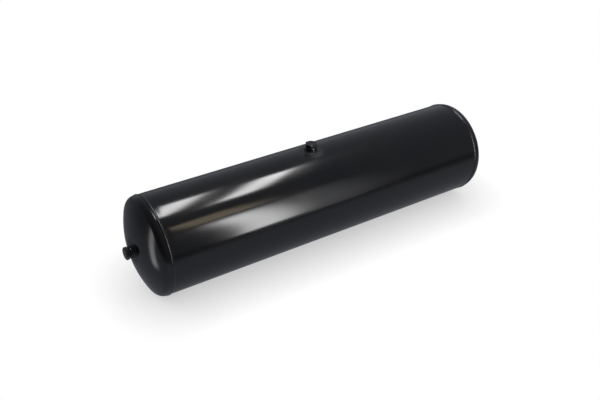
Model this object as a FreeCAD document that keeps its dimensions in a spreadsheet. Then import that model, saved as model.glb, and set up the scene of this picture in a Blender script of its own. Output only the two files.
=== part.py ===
import FreeCAD, Part
import math
import os

import Sketcher

# A horizontal compressed-air tank, 246 mm across and about a metre long, lying on its girth welds.
#
# The tank is a rolled sheet-steel shell with one lengthwise seam, closed by two dished heads. Each head
# steps in to a tongue that slides inside the shell, and a girth weld fills the groove above the tongue.
# Round bosses are let into the crown of each head and into the top of the shell. Each has a fillet weld
# round it, and is closed by a hexagon-headed plug that is screwed down on a flat seal.
#
# The frame: +X along the tank, +Z up, the origin on the floor under the middle of the tank. Lengths are
# in millimetres. The sheet "dims" holds the sizes to set, and the sheet "fit" holds what follows from them.

DRIVING = {
    # shell
    "shell_diameter": "246",
    "shell_length": "906",
    "shell_wall": "2.5",
    # dished heads
    "head_wall": "2.5",
    "crown_radius": "256",
    "knuckle_radius": "18",
    "skirt_beyond_weld": "0.3",
    "tongue_length": "10",
    "tongue_clearance": "0.2",
    "step_run": "3.4",
    # girth welds
    "girth_root_gap": "1",
    "girth_overlap": "1.7",
    "girth_rise": "1.4",
    # lengthwise seam, whose place is an angle from the top of the shell towards the back
    "seam_angle": "120",
    "seam_gap": "1.6",
    "seam_cap_width": "5",
    "seam_rise": "0.6",
    # bosses
    "top_port_x": "-8",
    "thread_diameter": "20.4",
    "mouth_chamfer": "1",
    "boss_wall": "5.4",
    "boss_height": "8",
    "boss_stub": "3",
    "boss_chamfer_drop": "0.8",
    "boss_chamfer_reach": "1.6",
    "boss_clearance": "0.2",
    # fillet welds round the bosses
    "fillet_leg": "3.5",
    "saddle_leg": "4.5",
    "fillet_hollow": "12",
    # seals and plugs
    "seal_clearance": "0.1",
    "seal_width": "2",
    "seal_thickness": "1.5",
    "washer_overhang": "0.2",
    "washer_thickness": "1",
    "hexagon_height": "8",
    "hexagon_chamfer_drop": "1.2",
    "hexagon_chamfer_inset": "0.2",
    "hexagon_chamfer_overrun": "0.1",
    "shank_length": "11",
    "shank_clearance": "0.05",
    "shank_point": "1",
    "top_plug_turn": "29",
    "left_plug_turn": "0",
    "right_plug_turn": "40",
}

FOLLOWING = {
    "shell_radius": "dims.shell_diameter / 2",
    "bore_radius": "shell_radius - dims.shell_wall",
    "shell_half": "dims.shell_length / 2",
    "axis_height": "shell_radius + dims.girth_rise",
    # lengthwise seam, in the section across the shell with the seam turned to face along +X
    "seam_half_gap": "dims.seam_gap / 2",
    "seam_half_cap": "dims.seam_cap_width / 2",
    "seam_cap_sink": "shell_radius - sqrt(shell_radius ^ 2 - seam_half_cap ^ 2)",
    "seam_cap_rise": "seam_cap_sink + dims.seam_rise",
    "seam_cap_radius": "(seam_cap_rise ^ 2 + seam_half_cap ^ 2) / (2 * seam_cap_rise)",
    "seam_cap_length": "dims.shell_length - 2 * dims.girth_overlap",
    "slit_inner": "bore_radius - dims.shell_wall / 2",
    "slit_outer": "shell_radius + dims.shell_wall / 2",
    # heads and girth welds, along the tank from its middle and out from its axis
    "tongue_radius": "bore_radius - dims.tongue_clearance",
    "tongue_bore": "tongue_radius - dims.head_wall",
    "skirt_bore": "shell_radius - dims.head_wall",
    "tongue_end": "shell_half - dims.tongue_length",
    "step_start": "shell_half + dims.girth_root_gap",
    "step_end": "step_start + dims.step_run",
    "step_height": "shell_radius - tongue_radius",
    "step_slant": "sqrt(dims.step_run ^ 2 + step_height ^ 2)",
    "step_shift": "dims.head_wall * (step_slant - dims.step_run) / step_height",
    "inner_step_start": "step_start + step_shift",
    "inner_step_end": "step_end + step_shift",
    "girth_near": "shell_half - dims.girth_overlap",
    "girth_far": "step_end + dims.girth_overlap",
    "girth_half": "(girth_far - girth_near) / 2",
    "girth_cap_radius": "(dims.girth_rise ^ 2 + girth_half ^ 2) / (2 * dims.girth_rise)",
    "knuckle_start": "girth_far + dims.skirt_beyond_weld",
    "inner_knuckle": "dims.knuckle_radius - dims.head_wall",
    "inner_crown": "dims.crown_radius - dims.head_wall",
    "crown_sine": "(shell_radius - dims.knuckle_radius) / (dims.crown_radius - dims.knuckle_radius)",
    "crown_cosine": "sqrt(1 - crown_sine ^ 2)",
    "crown_centre": "knuckle_start - (dims.crown_radius - dims.knuckle_radius) * crown_cosine",
    "head_end": "crown_centre + dims.crown_radius",
    "inner_head_end": "crown_centre + inner_crown",
    "crown_edge": "crown_centre + dims.crown_radius * crown_cosine",
    "crown_edge_radius": "dims.crown_radius * crown_sine",
    "inner_crown_edge": "crown_centre + inner_crown * crown_cosine",
    "inner_crown_edge_radius": "inner_crown * crown_sine",
    # ports: heights of each piece's foot above the steel's outer face at the port's axis
    "thread_radius": "dims.thread_diameter / 2",
    "mouth_radius": "thread_radius + dims.mouth_chamfer",
    "boss_radius": "thread_radius + dims.boss_wall",
    "hole_radius": "boss_radius + dims.boss_clearance",
    "shell_boss_foot": "-dims.shell_wall - dims.boss_stub",
    "head_boss_foot": "-dims.head_wall - dims.boss_stub",
    "seal_foot": "dims.boss_height",
    "washer_foot": "seal_foot + dims.seal_thickness",
    "plug_foot": "washer_foot - dims.shank_length",
    "shell_boss_length": "dims.boss_height - shell_boss_foot",
    "head_boss_length": "dims.boss_height - head_boss_foot",
    "shell_boss_length_shoulder": "shell_boss_length - dims.boss_chamfer_drop",
    "head_boss_length_shoulder": "head_boss_length - dims.boss_chamfer_drop",
    "shell_boss_length_throat": "shell_boss_length - dims.mouth_chamfer",
    "head_boss_length_throat": "head_boss_length - dims.mouth_chamfer",
    "boss_edge": "boss_radius - dims.boss_chamfer_reach",
    # fillet welds: how far the steel falls away under the boss's side and under the weld's toe
    "crown_toe": "boss_radius + dims.fillet_leg",
    "crown_toe_fall": "dims.crown_radius - sqrt(dims.crown_radius ^ 2 - crown_toe ^ 2)",
    "crown_heel_fall": "dims.crown_radius - sqrt(dims.crown_radius ^ 2 - boss_radius ^ 2)",
    "crown_fillet_foot": "-crown_toe_fall",
    "crown_heel": "crown_toe_fall - crown_heel_fall",
    "crown_fillet_top": "crown_heel + dims.fillet_leg",
    "saddle_toe": "boss_radius + dims.saddle_leg",
    "saddle_toe_fall": "shell_radius - sqrt(shell_radius ^ 2 - saddle_toe ^ 2)",
    "saddle_fillet_foot": "-saddle_toe_fall",
    "saddle_fillet_top": "saddle_toe_fall + dims.fillet_leg",
    "saddle_axis_depth": "shell_radius - saddle_toe_fall",
    # seals and plugs
    "seal_bore_radius": "mouth_radius + dims.seal_clearance",
    "seal_radius": "seal_bore_radius + dims.seal_width",
    "washer_radius": "seal_radius + dims.washer_overhang",
    "hexagon_corner": "washer_radius * 2 / sqrt(3)",
    "shank_radius": "thread_radius - dims.shank_clearance",
    "shank_tip_radius": "shank_radius - dims.shank_point",
    "washer_top": "dims.shank_length + dims.washer_thickness",
    "plug_length": "washer_top + dims.hexagon_height",
    "chamfer_foot": "plug_length - dims.hexagon_chamfer_drop",
    "chamfer_reach": "hexagon_corner + dims.hexagon_chamfer_overrun",
    "chamfer_face_radius": "washer_radius - dims.hexagon_chamfer_inset",
}

# How a sketch's constraints number its root point, its own two axes, and the points of an edge.
ROOT = (-1, 1)
LEVEL_AXIS, UPRIGHT_AXIS = -1, -2
START, END, CENTRE = 1, 2, 3

# Each port's angle about Y from straight up, and where the steel's outer face is on the port's axis. A
# piece's foot stands off that face by its lift.
PORTS = {
    "top": {"turn": 0, "x": "dims.top_port_x", "z": "fit.axis_height + fit.shell_radius + {lift}"},
    "left": {"turn": -90, "x": "-fit.head_end - {lift}", "z": "fit.axis_height"},
    "right": {"turn": 90, "x": "fit.head_end + {lift}", "z": "fit.axis_height"},
}

doc = FreeCAD.newDocument("air_tank")


def fill_sheet(name, cells, lead=""):
    """A sheet with a row for each size: its name in column A and its value, under that alias, in column B."""
    sheet = doc.addObject("Spreadsheet::Sheet", name)
    for row, (alias, text) in enumerate(cells.items(), start=1):
        sheet.set(f"A{row}", alias)
        sheet.set(f"B{row}", lead + text)
        sheet.setAlias(f"B{row}", alias)
    doc.recompute()
    return sheet


SHEETS = {"dims": fill_sheet("dims", DRIVING), "fit": fill_sheet("fit", FOLLOWING, lead="=")}


def size(name):
    """The number behind a name such as "dims.shell_wall" or "fit.step_end"; the name "zero" stands for 0."""
    if name == "zero":
        return 0.0
    sheet, alias = name.split(".")
    return float(SHEETS[sheet].get(alias))


def new_body(name, x="0", z="fit.axis_height", turn=0, about=(0, 1, 0)):
    """A body of that name, standing at the x and z that the formulas give and turned that many degrees."""
    body = doc.addObject("PartDesign::Body", name)
    body.Label = name
    body.Placement = FreeCAD.Placement(FreeCAD.Vector(), FreeCAD.Rotation(FreeCAD.Vector(*about), turn))
    body.setExpression("Placement.Base.x", x)
    body.setExpression("Placement.Base.z", z)
    return body


def new_port_body(port, piece, lift):
    """A body for one piece of a port, with its own Z axis along the port and its foot at the lift."""
    place = PORTS[port]
    x, z = place["x"].format(lift=lift), place["z"].format(lift=lift)
    return new_body(f"{port}_port_{piece}", x, z, place["turn"])


def new_sketch(body, name, plane, turn=None):
    """An empty sketch on one of the body's own planes, turned in that plane by a formula's degrees."""
    sketch = body.newObject("Sketcher::SketchObject", f"{body.Name}_{name}")
    support = next(feature for feature in body.Origin.OriginFeatures if feature.Role == plane)
    sketch.AttachmentSupport = (support, [""])
    sketch.MapMode = "FlatFace"
    if turn:
        about_normal = FreeCAD.Rotation(FreeCAD.Vector(0, 0, 1), 1)
        sketch.AttachmentOffset = FreeCAD.Placement(FreeCAD.Vector(), about_normal)
        sketch.setExpression("AttachmentOffset.Rotation.Angle", turn)
    return sketch


def bind(sketch, kind, *places, name):
    """A constraint of that kind whose value is the named size."""
    index = sketch.addConstraint(Sketcher.Constraint(kind, *places, size(name)))
    sketch.setExpression(f"Constraints[{index}]", name)


def end_at(sketch, edge, point):
    """START or END, whichever end of that edge is at the point: an arc is stored turning one way only."""
    return min((START, END), key=lambda end: (sketch.getPoint(edge, end) - point).Length)


def arc_between(start, end, radius, side):
    """The short arc of that radius, with its belly on the left of the way from start to end if side is 1."""
    chord = end - start
    belly = FreeCAD.Vector(-chord.y, chord.x, 0).normalize() * side
    sag = radius - math.sqrt(radius ** 2 - chord.Length ** 2 / 4)
    return Part.Arc(start, (start + end) / 2 + belly * sag, end)


def draw_outline(body, name, corners):
    """A closed outline in the body's XZ plane, with every corner pinned to two named sizes, across and up.

    A corner's edge runs straight to the next corner, unless the corner also names the radius of an arc and
    the side that its belly is on, 1 for the left and -1 for the right.
    """
    sketch = new_sketch(body, name, "XZ_Plane")
    points = [FreeCAD.Vector(size(corner[0]), size(corner[1]), 0) for corner in corners]
    for corner, start, end in zip(corners, points, points[1:] + points[:1]):
        curved = len(corner) == 4
        sketch.addGeometry(arc_between(start, end, size(corner[2]), corner[3]) if curved
                           else Part.LineSegment(start, end))
    for edge, (corner, point) in enumerate(zip(corners, points)):
        before = (edge - 1) % len(corners)
        here = end_at(sketch, edge, point)
        there = end_at(sketch, before, point)
        sketch.addConstraint(Sketcher.Constraint("Coincident", before, there, edge, here))
        for kind, axis, place in zip(("DistanceX", "DistanceY"), (UPRIGHT_AXIS, LEVEL_AXIS), corner):
            if place == "zero":
                sketch.addConstraint(Sketcher.Constraint("PointOnObject", edge, here, axis))
            else:
                bind(sketch, kind, *ROOT, edge, here, name=place)
        if len(corner) == 4:
            bind(sketch, "Radius", edge, name=corner[2])
    return sketch


def draw_circles(body, name, plane, *radii):
    """Circles of the named radii about the middle of one of the body's own planes."""
    sketch = new_sketch(body, name, plane)
    for edge, radius in enumerate(radii):
        sketch.addGeometry(Part.Circle(FreeCAD.Vector(), FreeCAD.Vector(0, 0, 1), size(radius)))
        sketch.addConstraint(Sketcher.Constraint("Coincident", edge, CENTRE, *ROOT))
        bind(sketch, "Radius", edge, name=radius)
    return sketch


def turn_outline(body, name, corners, axis, kind="Revolution"):
    """The solid that an outline sweeps about the body's X axis (H_Axis) or Z axis (V_Axis), or its groove."""
    sketch = draw_outline(body, f"{name}_outline", corners)
    turned = body.newObject(f"PartDesign::{kind}", f"{body.Name}_{name}")
    turned.Profile = sketch
    turned.ReferenceAxis = (sketch, [axis])
    turned.Angle = 360
    return turned


def add_pad(body, name, sketch, length, both_ways=False):
    """A pad of that length, forward of its sketch or half on each side of it."""
    pad = body.newObject("PartDesign::Pad", f"{body.Name}_{name}")
    pad.Profile = sketch
    pad.SideType = "Symmetric" if both_ways else "One side"
    pad.setExpression("Length", length)
    return pad


def add_pocket(body, name, sketch, length, both_ways=False):
    """A pocket of that length, on the side of its sketch that a pad would fill, or half on each side."""
    pocket = body.newObject("PartDesign::Pocket", f"{body.Name}_{name}")
    pocket.Profile = sketch
    pocket.SideType = "Symmetric" if both_ways else "One side"
    pocket.Reversed = not both_ways
    pocket.setExpression("Length", length)
    return pocket


def draw_seam_section(body, name, inner, outer, half_width, domed=False):
    """A stretch of the shell's round section, in a sketch turned so that the seam faces along its own X axis.

    It lies between arcs of the inner and outer radii, both about the shell's axis, and ends half_width to
    each side of the seam's centreline. A domed one has its outer arc stand on the inner one's two ends.
    """
    sketch = new_sketch(body, name, "YZ_Plane", turn="90 deg - dims.seam_angle * 1 deg")
    half = size(half_width)
    low, high = size(inner), size(outer)
    low_x = math.sqrt(low ** 2 - half ** 2)
    high_x = low_x if domed else math.sqrt(high ** 2 - half ** 2)
    low_ends = [FreeCAD.Vector(low_x, side * half, 0) for side in (-1, 1)]
    high_ends = [FreeCAD.Vector(high_x, side * half, 0) for side in (-1, 1)]
    sketch.addGeometry([arc_between(*low_ends, low, -1), arc_between(*high_ends, high, -1)])
    bind(sketch, "Radius", 0, name=inner)
    bind(sketch, "Radius", 1, name=outer)
    sketch.addConstraint(Sketcher.Constraint("Coincident", 0, CENTRE, *ROOT))
    bind(sketch, "DistanceY", 0, end_at(sketch, 0, low_ends[0]), *ROOT, name=half_width)
    bind(sketch, "DistanceY", *ROOT, 0, end_at(sketch, 0, low_ends[1]), name=half_width)
    joins = list(zip(low_ends, high_ends))
    if domed:
        for low_end, high_end in joins:
            sketch.addConstraint(Sketcher.Constraint("Coincident", 0, end_at(sketch, 0, low_end),
                                                     1, end_at(sketch, 1, high_end)))
        return sketch
    sketch.addConstraint(Sketcher.Constraint("Coincident", 1, CENTRE, *ROOT))
    for edge, (low_end, high_end) in enumerate(joins, start=2):
        sketch.addGeometry(Part.LineSegment(low_end, high_end))
        sketch.addConstraint([
            Sketcher.Constraint("Coincident", edge, START, 0, end_at(sketch, 0, low_end)),
            Sketcher.Constraint("Coincident", edge, END, 1, end_at(sketch, 1, high_end)),
            Sketcher.Constraint("Horizontal", edge),
        ])
    return sketch


def make_shell():
    """The rolled tube, with the slit where its edges meet and the hole for the top boss."""
    body = new_body("shell")
    add_pad(body, "tube", draw_circles(body, "section", "YZ_Plane", "fit.shell_radius", "fit.bore_radius"),
            "dims.shell_length", both_ways=True)
    slit = draw_seam_section(body, "slit_section", "fit.slit_inner", "fit.slit_outer", "fit.seam_half_gap")
    add_pocket(body, "slit", slit, "dims.shell_length + dims.tongue_length", both_ways=True)
    hole = draw_circles(body, "hole_outline", "XY_Plane", "fit.hole_radius")
    hole.setExpression("AttachmentOffset.Base.x", "dims.top_port_x")
    add_pocket(body, "hole", hole, "dims.shell_diameter")
    return body


def make_seam_weld():
    """The lengthwise weld: it fills the slit, and its low cap stops at the girth welds."""
    body = new_body("lengthwise_weld")
    fill = draw_seam_section(body, "fill_section", "fit.bore_radius", "fit.shell_radius", "fit.seam_half_gap")
    add_pad(body, "fill", fill, "dims.shell_length", both_ways=True)
    cap = draw_seam_section(body, "cap_section", "fit.shell_radius", "fit.seam_cap_radius",
                            "fit.seam_half_cap", domed=True)
    add_pad(body, "cap", cap, "fit.seam_cap_length", both_ways=True)
    return body


def make_head(name, turn):
    """A dished head: tongue, step, short skirt, knuckle and crown, with the hole for its boss."""
    body = new_body(name, turn=turn, about=(0, 0, 1))
    turn_outline(body, "dish", [
        ("fit.tongue_end", "fit.tongue_bore"),
        ("fit.inner_step_start", "fit.tongue_bore"),
        ("fit.inner_step_end", "fit.skirt_bore"),
        ("fit.knuckle_start", "fit.skirt_bore", "fit.inner_knuckle", 1),
        ("fit.inner_crown_edge", "fit.inner_crown_edge_radius", "fit.inner_crown", 1),
        ("fit.inner_head_end", "zero"),
        ("fit.head_end", "zero", "dims.crown_radius", -1),
        ("fit.crown_edge", "fit.crown_edge_radius", "dims.knuckle_radius", -1),
        ("fit.knuckle_start", "fit.shell_radius"),
        ("fit.step_end", "fit.shell_radius"),
        ("fit.step_start", "fit.tongue_radius"),
        ("fit.tongue_end", "fit.tongue_radius"),
    ], "H_Axis")
    add_pocket(body, "hole", draw_circles(body, "hole_outline", "YZ_Plane", "fit.hole_radius"),
               "fit.head_end + dims.head_wall")
    return body


def make_girth_weld(name, turn):
    """The ring of weld over a head's step, with its domed cap over the edges of shell and head."""
    body = new_body(name, turn=turn, about=(0, 0, 1))
    turn_outline(body, "bead", [
        ("fit.shell_half", "fit.tongue_radius"),
        ("fit.step_start", "fit.tongue_radius"),
        ("fit.step_end", "fit.shell_radius"),
        ("fit.girth_far", "fit.shell_radius", "fit.girth_cap_radius", -1),
        ("fit.girth_near", "fit.shell_radius"),
        ("fit.shell_half", "fit.shell_radius"),
    ], "H_Axis")
    return body


def make_boss(port, foot, length):
    """The round boss, bored for its thread, with its outer corner turned off and its mouth countersunk."""
    body = new_port_body(port, "boss", foot)
    turn_outline(body, "ring", [
        ("fit.thread_radius", "zero"),
        ("fit.boss_radius", "zero"),
        ("fit.boss_radius", f"fit.{length}_shoulder"),
        ("fit.boss_edge", f"fit.{length}"),
        ("fit.mouth_radius", f"fit.{length}"),
        ("fit.thread_radius", f"fit.{length}_throat"),
    ], "V_Axis")
    return body


def make_crown_fillet(port):
    """The fillet weld round a head's boss, whose underside follows the crown."""
    body = new_port_body(port, "weld", "fit.crown_fillet_foot")
    turn_outline(body, "bead", [
        ("fit.boss_radius", "fit.crown_heel", "dims.crown_radius", 1),
        ("fit.crown_toe", "zero", "dims.fillet_hollow", 1),
        ("fit.boss_radius", "fit.crown_fillet_top"),
    ], "V_Axis")
    return body


def make_saddle_fillet(port):
    """The fillet weld round the shell's boss: a turned bead, cut away below by the shell's outer face."""
    body = new_port_body(port, "weld", "fit.saddle_fillet_foot")
    turn_outline(body, "bead", [
        ("fit.boss_radius", "zero"),
        ("fit.saddle_toe", "zero", "dims.fillet_hollow", 1),
        ("fit.boss_radius", "fit.saddle_fillet_top"),
    ], "V_Axis")
    saddle = draw_circles(body, "saddle_outline", "YZ_Plane", "fit.shell_radius")
    saddle.setExpression("AttachmentOffset.Base.y", "-fit.saddle_axis_depth")
    add_pocket(body, "saddle", saddle, "dims.shell_diameter", both_ways=True)
    return body


def make_seal(port):
    """The flat sealing ring between the boss and the plug's washer face."""
    body = new_port_body(port, "seal", "fit.seal_foot")
    ring = draw_circles(body, "section", "XY_Plane", "fit.seal_radius", "fit.seal_bore_radius")
    add_pad(body, "ring", ring, "dims.seal_thickness")
    return body


def make_plug(port):
    """The plug: a pointed shank, a thin washer face and a hexagon head with its top corners turned off."""
    body = new_port_body(port, "plug", "fit.plug_foot")
    turn_outline(body, "shank", [
        ("zero", "zero"),
        ("fit.shank_tip_radius", "zero"),
        ("fit.shank_radius", "dims.shank_point"),
        ("fit.shank_radius", "dims.shank_length"),
        ("fit.washer_radius", "dims.shank_length"),
        ("fit.washer_radius", "fit.washer_top"),
        ("zero", "fit.washer_top"),
    ], "V_Axis")
    hexagon = new_sketch(body, "hexagon_outline", "XY_Plane", turn=f"dims.{port}_plug_turn * 1 deg + 30 deg")
    hexagon.setExpression("AttachmentOffset.Base.z", "fit.washer_top")
    corner = size("fit.hexagon_corner")
    tips = [FreeCAD.Vector(corner * math.cos(math.radians(turn)), corner * math.sin(math.radians(turn)), 0)
            for turn in range(0, 360, 60)]
    for start, end in zip(tips, tips[1:] + tips[:1]):
        hexagon.addGeometry(Part.LineSegment(start, end))
    guide = hexagon.addGeometry(Part.Circle(FreeCAD.Vector(), FreeCAD.Vector(0, 0, 1), corner), True)
    hexagon.addConstraint(Sketcher.Constraint("Coincident", guide, CENTRE, *ROOT))
    bind(hexagon, "Radius", guide, name="fit.hexagon_corner")
    for edge in range(len(tips)):
        before = (edge - 1) % len(tips)
        hexagon.addConstraint(Sketcher.Constraint("Coincident", before, END, edge, START))
        hexagon.addConstraint(Sketcher.Constraint("PointOnObject", edge, START, guide))
        if edge:
            hexagon.addConstraint(Sketcher.Constraint("Equal", 0, edge))
    hexagon.addConstraint(Sketcher.Constraint("PointOnObject", 0, START, LEVEL_AXIS))
    add_pad(body, "hexagon", hexagon, "dims.hexagon_height")
    turn_outline(body, "chamfer", [
        ("fit.chamfer_face_radius", "fit.plug_length"),
        ("fit.chamfer_reach", "fit.chamfer_foot"),
        ("fit.chamfer_reach", "fit.plug_length"),
    ], "V_Axis", kind="Groove")
    return body


def make_tank():
    """Every piece of the tank, in the order it is put together."""
    pieces = [make_shell(), make_seam_weld()]
    for side, turn in (("left", 180), ("right", 0)):
        pieces += [make_head(f"{side}_head", turn), make_girth_weld(f"{side}_girth_weld", turn)]
    for port in PORTS:
        wall = "shell" if port == "top" else "head"
        pieces.append(make_boss(port, f"fit.{wall}_boss_foot", f"{wall}_boss_length"))
        pieces.append(make_saddle_fillet(port) if port == "top" else make_crown_fillet(port))
        pieces += [make_seal(port), make_plug(port)]
    return pieces


def check_all(pieces):
    """Stops the build if any object has failed, or any piece isn't one valid solid."""
    failed = [item.Name for item in doc.Objects if {"Invalid", "Error"} & set(item.State)]
    unsound = [piece.Label for piece in pieces
               if piece.Shape.isNull() or not piece.Shape.isValid() or len(piece.Shape.Solids) != 1]
    if failed or unsound:
        raise RuntimeError(f"failed objects: {failed}; unsound pieces: {unsound}")


tank = make_tank()
doc.recompute()
check_all(tank)
os.makedirs("parts", exist_ok=True)
for piece in tank:
    piece.Shape.exportStep(f"parts/{piece.Label}.step")
    print(f"{piece.Label}: {piece.Shape.Volume:.0f} mm3")
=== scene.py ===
"""A horizontal compressed-air tank in gloss black paint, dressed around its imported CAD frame.

Everything is in metres, in the frame's own axes: +X along the tank, +Z up, the floor at Z = 0.
"""

import logging
import math
from collections.abc import Sequence
from dataclasses import dataclass, field
from enum import Enum

import bmesh
import bpy
import numpy as np
from mathutils import Matrix, Vector


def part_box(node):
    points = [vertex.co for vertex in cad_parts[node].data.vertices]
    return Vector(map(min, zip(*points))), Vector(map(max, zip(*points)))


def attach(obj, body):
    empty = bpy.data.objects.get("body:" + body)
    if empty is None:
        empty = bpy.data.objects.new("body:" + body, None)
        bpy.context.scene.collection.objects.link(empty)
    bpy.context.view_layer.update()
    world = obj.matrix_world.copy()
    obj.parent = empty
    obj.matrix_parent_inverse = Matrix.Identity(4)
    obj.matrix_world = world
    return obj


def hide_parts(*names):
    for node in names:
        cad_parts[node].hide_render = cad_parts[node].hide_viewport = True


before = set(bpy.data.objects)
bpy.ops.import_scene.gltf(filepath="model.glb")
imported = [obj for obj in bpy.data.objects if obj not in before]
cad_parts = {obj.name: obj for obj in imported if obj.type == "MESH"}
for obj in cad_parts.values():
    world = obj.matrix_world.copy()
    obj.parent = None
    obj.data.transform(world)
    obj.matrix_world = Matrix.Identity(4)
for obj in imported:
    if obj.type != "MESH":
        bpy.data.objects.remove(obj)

LOG = logging.getLogger("air_tank")
MM = 0.001
ROUND_SIDES = 96
RUN, ACROSS = "bead_run", "bead_across"
DRY = "dry_spray"

Corner = tuple[float, float]
Colour = tuple[float, float, float]
Given = bpy.types.NodeSocket | float


class End(Enum):
    """The tank's two ends, by which way each one faces along X."""

    LEFT = -1
    RIGHT = 1

    @property
    def word(self) -> str:
        """The end's name as the frame's nodes begin with it."""
        return self.name.lower()


# ---------------------------------------------------------------- shapes


def arc(centre: Corner, radius: float, start: float, stop: float, count: int) -> list[Corner]:
    """Points along an arc of an outline.

    Args:
        centre: The arc's centre, as (along, out).
        radius: Its radius.
        start: The angle it starts at, in degrees from the along axis towards the out axis.
        stop: The angle it ends at.
        count: How many points it has, both ends included.

    Returns:
        The points, in order.
    """
    angles = np.radians(np.linspace(start, stop, count))
    return [(centre[0] + radius * math.cos(a), centre[1] + radius * math.sin(a)) for a in angles]


def steps(start: float, stop: float, pitch: float) -> np.ndarray:
    """Even positions from start to stop, both included, about pitch apart."""
    return np.linspace(start, stop, max(2, round(abs(stop - start) / pitch) + 1))


def round_turns(count: int) -> np.ndarray:
    """Even turns round a circle, in radians, from 0."""
    return np.linspace(0, math.tau, count, endpoint=False)


def feed(links: bpy.types.NodeLinks, value: Given, target: bpy.types.NodeSocket) -> None:
    """Gives a node's input its value.

    Args:
        links: The links of the node's tree.
        value: A socket to link or a number to set.
        target: The input.
    """
    if isinstance(value, bpy.types.NodeSocket):
        links.new(value, target)
    else:
        target.default_value = value


def make_object(name: str, mesh: bpy.types.Mesh) -> bpy.types.Object:
    """A new object for a mesh, in the scene and at the origin.

    Args:
        name: The object's name.
        mesh: Its mesh.

    Returns:
        The object.
    """
    piece = bpy.data.objects.new(name, mesh)
    bpy.context.scene.collection.objects.link(piece)
    return piece


def loft(name: str, rings: np.ndarray, cyclic: bool = True, run: np.ndarray | None = None,
         across: np.ndarray | None = None, sharp: float = 30.0) -> bpy.types.Object:
    """A closed solid drawn through a row of closed sections.

    Args:
        name: The piece's name.
        rings: Points as [section, point of the section, xyz].
        cyclic: True if the last section joins the first. Otherwise both ends are capped.
        run: How far along a weld bead each section is, in metres, or None if it isn't a bead.
        across: Where each point of a section lies across the bead, from -1 to 1, or 2 where it is buried.
        sharp: The angle, in degrees, past which an edge is drawn sharp.

    Returns:
        The piece, smooth-shaded, with its faces outwards.
    """
    count, width = rings.shape[:2]
    index = np.arange(count * width).reshape(count, width)
    last = count if cyclic else count - 1
    here, there = index[np.arange(last)], index[(np.arange(last) + 1) % count]
    quads = np.stack([here, there, np.roll(there, -1, axis=1), np.roll(here, -1, axis=1)], axis=-1)
    faces = quads.reshape(-1, 4).tolist()
    if not cyclic:
        faces += [index[0].tolist(), index[-1][::-1].tolist()]
    mesh = bpy.data.meshes.new(name)
    mesh.from_pydata(rings.reshape(-1, 3).tolist(), [], faces)
    if run is not None and across is not None:
        for label, values in ((RUN, np.repeat(run, width)), (ACROSS, np.tile(across, count))):
            mesh.attributes.new(label, "FLOAT", "POINT").data.foreach_set("value", values.astype("f"))
    tidy(mesh, sharp)
    return make_object(name, mesh)


def tidy(mesh: bpy.types.Mesh, sharp: float) -> None:
    """Closes a mesh's poles, turns its faces outwards and sets which of its edges are drawn sharp.

    Args:
        mesh: The mesh, which is changed in place.
        sharp: The angle, in degrees, past which an edge is drawn sharp.
    """
    work = bmesh.new()
    work.from_mesh(mesh)
    bmesh.ops.remove_doubles(work, verts=work.verts, dist=1e-7)
    bmesh.ops.recalc_face_normals(work, faces=work.faces)
    work.to_mesh(mesh)
    work.free()
    mesh.shade_smooth()
    mesh.set_sharp_from_angle(angle=math.radians(sharp))


@dataclass(frozen=True)
class Axis:
    """A line that pieces are turned about.

    Args:
        foot: A point on the line.
        along: The line's direction.
        side: The direction, square to the line, that the first section is drawn in.
    """

    foot: Vector
    along: Vector
    side: Vector

    def turned(self, outline: Sequence[Corner] | np.ndarray, segments: int) -> np.ndarray:
        """The rings of an outline turned about the line.

        Args:
            outline: Corners as (distance along the line from its foot, distance out from it), either
                the same all round or as [section, corner, distance].
            segments: How many sections go round.

        Returns:
            Points as [section, corner, xyz].
        """
        along, side = np.array(self.along), np.array(self.side)
        turns = round_turns(segments)[:, None]
        out = np.cos(turns) * side + np.sin(turns) * np.cross(along, side)
        corners = np.array(outline)
        return np.array(self.foot) + corners[..., 0, None] * along + corners[..., 1, None] * out[:, None, :]


def mark_dry_spray(piece: bpy.types.Object, axis: Axis, near: float, far: float) -> None:
    """Marks how dry the sprayed coat is round a port, where the gun can't reach in square.

    Args:
        piece: The piece, which gets the attribute.
        axis: The port's axis.
        near: How far from the axis the coat starts to get wetter.
        far: How far from it the coat is as wet as elsewhere.
    """
    count = len(piece.data.vertices)
    places = np.empty(count * 3, "f")
    piece.data.vertices.foreach_get("co", places)
    offset = places.reshape(-1, 3) - np.array(axis.foot)
    along = offset @ np.array(axis.along)
    away = np.linalg.norm(offset - along[:, None] * np.array(axis.along), axis=1)
    share = np.clip((far - away) / (far - near), 0.0, 1.0) * (along > 0)
    dry = share * share * (3 - 2 * share)
    piece.data.attributes.new(DRY, "FLOAT", "POINT").data.foreach_set("value", dry.astype("f"))


def bake(piece: bpy.types.Object) -> None:
    """Turns a piece's modifiers into plain mesh and removes them.

    Args:
        piece: The piece, whose mesh is replaced.
    """
    evaluated = piece.evaluated_get(bpy.context.evaluated_depsgraph_get())
    plain = bpy.data.meshes.new_from_object(evaluated)
    piece.modifiers.clear()
    piece.data = plain


def bevel(piece: bpy.types.Object, width: float, angle: float = 25.0, segments: int = 3) -> None:
    """Rounds a piece's sharp edges.

    Args:
        piece: The piece, whose mesh is replaced.
        width: The bevel's width, in metres.
        angle: The angle, in degrees, past which an edge is rounded.
        segments: How many faces go across the rounding.
    """
    rounding = piece.modifiers.new("rounding", "BEVEL")
    rounding.width = width
    rounding.segments = segments
    rounding.limit_method = "ANGLE"
    rounding.angle_limit = math.radians(angle)
    rounding.harden_normals = True
    bake(piece)


# ---------------------------------------------------------------- weld ripples


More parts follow.
